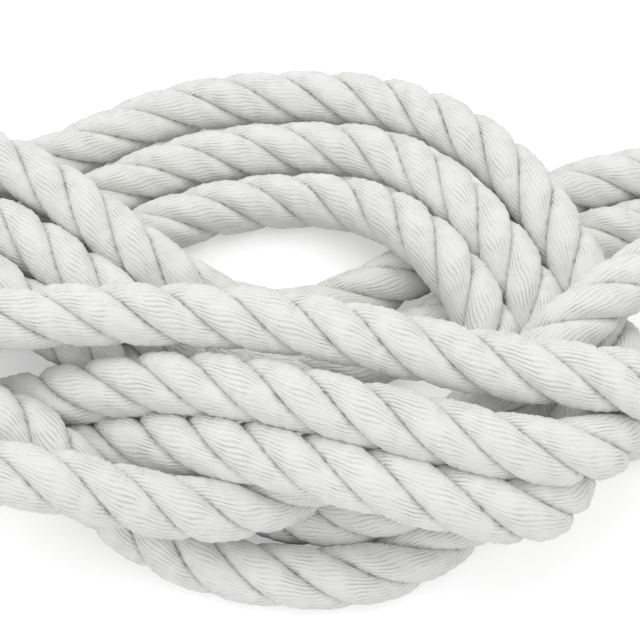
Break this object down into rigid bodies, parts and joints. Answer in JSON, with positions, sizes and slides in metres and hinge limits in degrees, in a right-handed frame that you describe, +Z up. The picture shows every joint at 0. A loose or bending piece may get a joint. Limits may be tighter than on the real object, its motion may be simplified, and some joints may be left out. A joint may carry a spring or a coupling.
{
  "type": "coiled dock line",
  "caption": "White three-strand cotton mooring rope, loosely coiled and heaped, with a spliced eye at one end and a whipped bitter end.",
  "frame": {"origin": "on the floor, under the middle of the heap's box", "axes": "+Z up from the floor, +X along the heap from the whipped end to the spliced eye, +Y towards the arched side of the coil"},
  "size_m": [0.4522, 0.1304, 0.0462],
  "materials": {
    "rope_cotton": "matte undyed cotton yarn, three-strand right-hand lay",
    "whipping_twine": "waxed cotton twine, close turns"
  },
  "bodies": {
    "root": {"arch_rope_inner": "rope_cotton", "arch_rope_middle": "rope_cotton", "arch_rope_outer": "rope_cotton", "corner_rope": "rope_cotton", "cross_rope_middle": "rope_cotton", "cross_rope_upper": "rope_cotton", "end_tip": "rope_cotton", "end_whipping": "whipping_twine", "eye_loop": "rope_cotton", "eye_splice": "rope_cotton", "front_rope_lower": "rope_cotton", "front_rope_middle": "rope_cotton", "front_rope_upper": "rope_cotton", "left_bight_inner": "rope_cotton", "left_bight_lower": "rope_cotton", "left_bight_middle": "rope_cotton", "left_bight_outer": "rope_cotton", "left_bight_upper": "rope_cotton", "lower_loop": "rope_cotton", "right_bight_inner": "rope_cotton", "right_bight_outer": "rope_cotton", "right_turn_inner": "rope_cotton", "right_turn_middle": "rope_cotton", "right_turn_outer": "rope_cotton", "rising_rope": "rope_cotton", "standing_part": "rope_cotton", "tail_run": "rope_cotton"}
  },
  "joints": []
}
